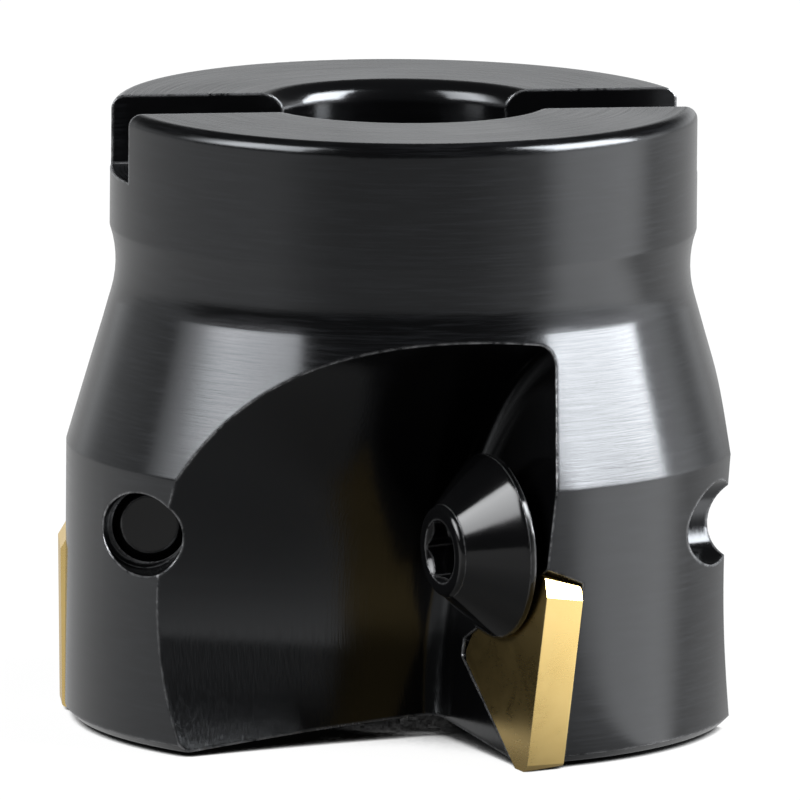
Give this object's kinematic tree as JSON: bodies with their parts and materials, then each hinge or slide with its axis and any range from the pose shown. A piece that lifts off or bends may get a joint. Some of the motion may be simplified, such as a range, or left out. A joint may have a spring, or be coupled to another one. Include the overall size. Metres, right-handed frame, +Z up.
{
  "type": "face mill",
  "caption": "Indexable shell mill that cuts flat faces and square shoulders with clamped triangular carbide inserts, driven by a bored, slotted hub.",
  "frame": {"origin": "on the spindle axis, level with the floor of the drive slot, 5.1 mm below the face that bears on the arbor", "axes": "+Z up the spindle axis towards the arbor; +X along the drive slot; the first insert's cutting edge is at about 15 degrees from -Y towards +X"},
  "size_m": [0.0482, 0.0495, 0.0458],
  "materials": {
    "body_steel": "turned steel with a glossy black-oxide finish",
    "insert_coating": "ground carbide with a gold titanium-nitride coating",
    "screw_steel": "alloy steel with a black-oxide finish"
  },
  "bodies": {
    "body": {"cutter_body": "body_steel"},
    "insert_1": {"insert_1": "insert_coating"},
    "clamp_screw_1": {"clamp_screw_1": "screw_steel"},
    "insert_2": {"insert_2": "insert_coating"},
    "clamp_screw_2": {"clamp_screw_2": "screw_steel"},
    "insert_3": {"insert_3": "insert_coating"},
    "clamp_screw_3": {"clamp_screw_3": "screw_steel"}
  },
  "joints": [
    {"name": "insert_1_slide", "type": "slide", "parent": "body", "child": "insert_1", "axis": [0.2538, -0.9673, 0], "range_m": [0, 0.016]},
    {"name": "insert_2_slide", "type": "slide", "parent": "body", "child": "insert_2", "axis": [0.7108, 0.7034, 0], "range_m": [0, 0.016]},
    {"name": "insert_3_slide", "type": "slide", "parent": "body", "child": "insert_3", "axis": [-0.9646, 0.2639, 0], "range_m": [0, 0.016]},
    {"name": "clamp_screw_1_travel", "type": "slide", "parent": "body", "child": "clamp_screw_1", "axis": [-0.9473, -0.3188, -0.0305], "range_m": [0, 0.014]},
    {"name": "clamp_screw_2_travel", "type": "slide", "parent": "body", "child": "clamp_screw_2", "axis": [0.7498, -0.661, -0.0305], "range_m": [0, 0.014]},
    {"name": "clamp_screw_3_travel", "type": "slide", "parent": "body", "child": "clamp_screw_3", "axis": [0.1976, 0.9798, -0.0305], "range_m": [0, 0.014]}
  ]
}
